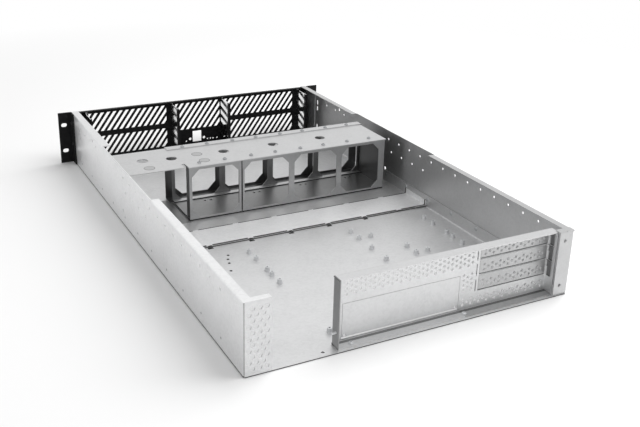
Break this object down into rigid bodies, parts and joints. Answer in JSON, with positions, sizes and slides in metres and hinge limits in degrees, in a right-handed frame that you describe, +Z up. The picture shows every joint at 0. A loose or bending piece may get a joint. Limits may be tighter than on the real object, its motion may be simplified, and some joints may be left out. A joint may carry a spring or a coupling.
{
  "type": "rackmount server case",
  "caption": "Open rackmount server chassis of bent sheet metal with a slotted black front, rack ears, a fan wall, board supports and a recessed vented rear panel.",
  "frame": {"origin": "centre of the footprint over the rack ears, at the underside of the floor", "axes": "+X towards the side wall beside the power supply bay, +Y towards the rear panel, +Z up out of the open top; the black front faces -Y"},
  "size_m": [0.4826, 0.725, 0.088],
  "materials": {
    "galvanised_sheet": "satin zinc-coated steel sheet, faint rolling grain",
    "black_coat": "fine-textured matt black powder coat",
    "plated_steel": "bright zinc-plated steel",
    "black_fastener": "black oxide steel"
  },
  "bodies": {
    "root": {"base_tray": "galvanised_sheet", "right_side_wall": "galvanised_sheet", "left_side_wall": "galvanised_sheet", "step_plate": "galvanised_sheet", "front_panel": "black_coat", "front_port_bracket": "black_coat", "bay_plate_1": "black_coat", "bay_plate_2": "black_coat", "bay_plate_3": "black_coat", "bay_plate_4": "black_coat", "right_rack_ear": "black_coat", "left_rack_ear": "black_coat", "right_ear_backing": "galvanised_sheet", "left_ear_backing": "galvanised_sheet", "fan_partition": "galvanised_sheet", "fan_bridge": "galvanised_sheet", "single_fan_cage": "galvanised_sheet", "triple_fan_cage": "galvanised_sheet", "rear_panel": "galvanised_sheet", "connector_blank": "galvanised_sheet", "slot_cover_1": "galvanised_sheet", "slot_cover_2": "galvanised_sheet", "slot_cover_3": "galvanised_sheet", "board_standoffs": "plated_steel", "bridge_screws": "plated_steel", "rear_panel_screws": "plated_steel", "ear_screws": "black_fastener", "wall_rivets": "plated_steel"}
  },
  "joints": []
}
